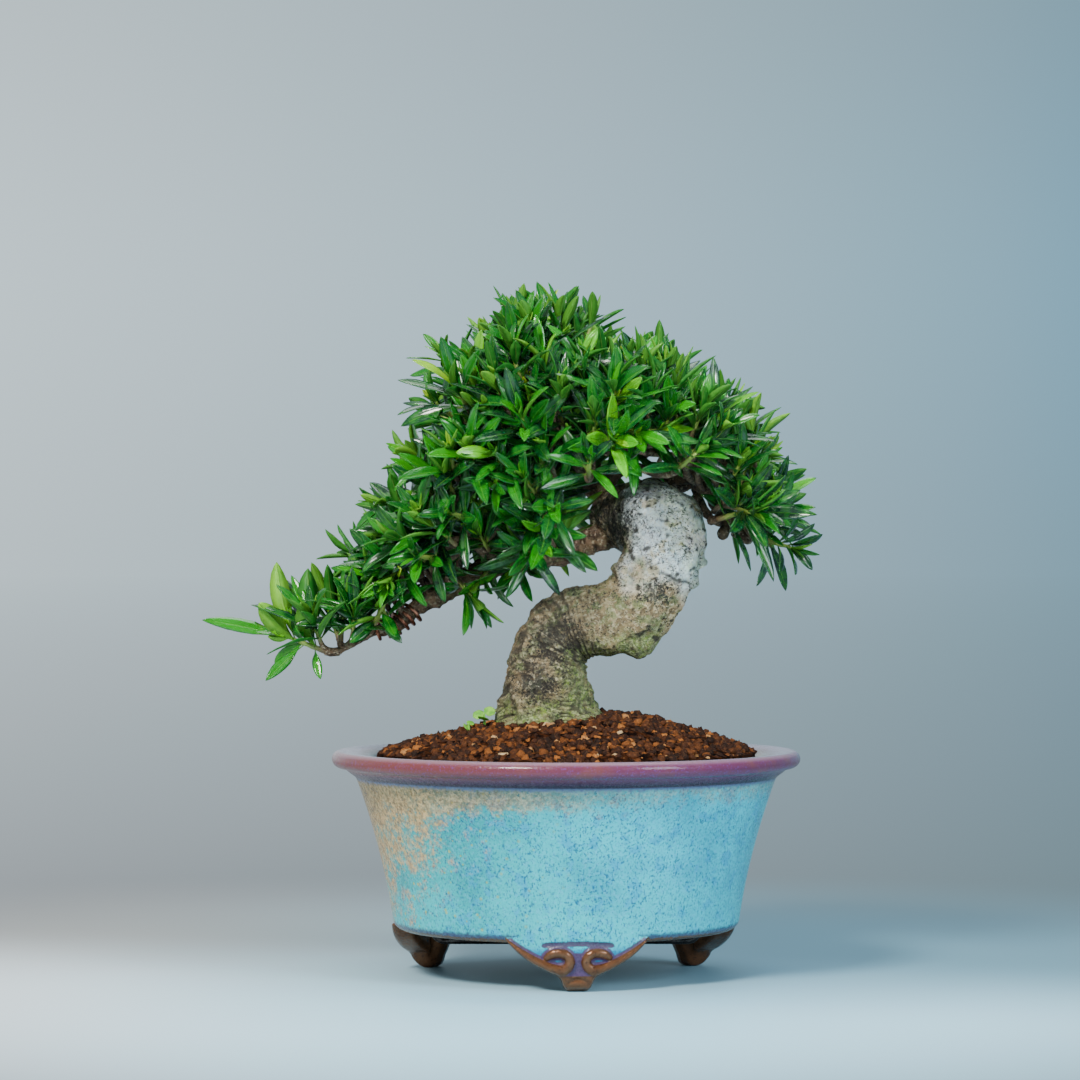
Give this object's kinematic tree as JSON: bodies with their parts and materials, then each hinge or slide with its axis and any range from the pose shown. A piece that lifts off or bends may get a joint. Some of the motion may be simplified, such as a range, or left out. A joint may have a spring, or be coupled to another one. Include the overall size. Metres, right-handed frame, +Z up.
{
  "type": "gardenia bonsai",
  "caption": "Gardenia bonsai: S-curved trunk, a domed crown of narrow glossy leaves and a long wired branch, potted in a round flared glazed bowl on cloud-shaped feet.",
  "frame": {"origin": "on the surface that the pot stands on, under the middle of the tree's and pot's bounding box; the pot's own axis is at x = +17.5 mm", "axes": "+Z up; +X to the right and +Y away from a viewer who faces the tree's front"},
  "size_m": [0.1983, 0.1508, 0.2203],
  "materials": {
    "pot_glaze": "glossy turquoise glaze with dark blue specks, plum rim, cream top band and bronze-brown feet",
    "akadama": "matt red-brown fired clay granules",
    "bark": "wrinkled grey-brown bark, paler and smoother at the top bend",
    "leaf_green": "glossy evergreen leaf with a pale midrib",
    "copper_wire": "copper-brown anodised wire",
    "dark_wire": "dark brown anodised wire, glossy",
    "black_mesh": "black plastic mesh",
    "seedling_green": "thin bright green leaf"
  },
  "bodies": {
    "root": {"anchor_wire": "dark_wire", "drain_mesh": "black_mesh", "pot": "pot_glaze", "seedling_large": "seedling_green", "seedling_small": "seedling_green", "shoot_01": "leaf_green", "shoot_02": "leaf_green", "shoot_03": "leaf_green", "shoot_04": "leaf_green", "shoot_05": "leaf_green", "shoot_06": "leaf_green", "shoot_07": "leaf_green", "shoot_08": "leaf_green", "shoot_09": "leaf_green", "shoot_10": "leaf_green", "shoot_11": "leaf_green", "shoot_12": "leaf_green", "shoot_13": "leaf_green", "shoot_14": "leaf_green", "shoot_15": "leaf_green", "shoot_16": "leaf_green", "shoot_17": "leaf_green", "shoot_18": "leaf_green", "shoot_19": "leaf_green", "shoot_20": "leaf_green", "shoot_21": "leaf_green", "shoot_22": "leaf_green", "shoot_23": "leaf_green", "shoot_24": "leaf_green", "shoot_25": "leaf_green", "shoot_26": "leaf_green", "shoot_27": "leaf_green", "shoot_28": "leaf_green", "shoot_29": "leaf_green", "shoot_30": "leaf_green", "shoot_31": "leaf_green", "shoot_32": "leaf_green", "shoot_33": "leaf_green", "shoot_34": "leaf_green", "shoot_35": "leaf_green", "shoot_36": "leaf_green", "shoot_37": "leaf_green", "shoot_38": "leaf_green", "shoot_39": "leaf_green", "shoot_40": "leaf_green", "shoot_41": "leaf_green", "shoot_42": "leaf_green", "shoot_43": "leaf_green", "shoot_44": "leaf_green", "shoot_45": "leaf_green", "shoot_46": "leaf_green", "shoot_47": "leaf_green", "shoot_48": "leaf_green", "soil": "akadama", "training_wire": "copper_wire", "tree_wood": "bark"}
  },
  "joints": []
}
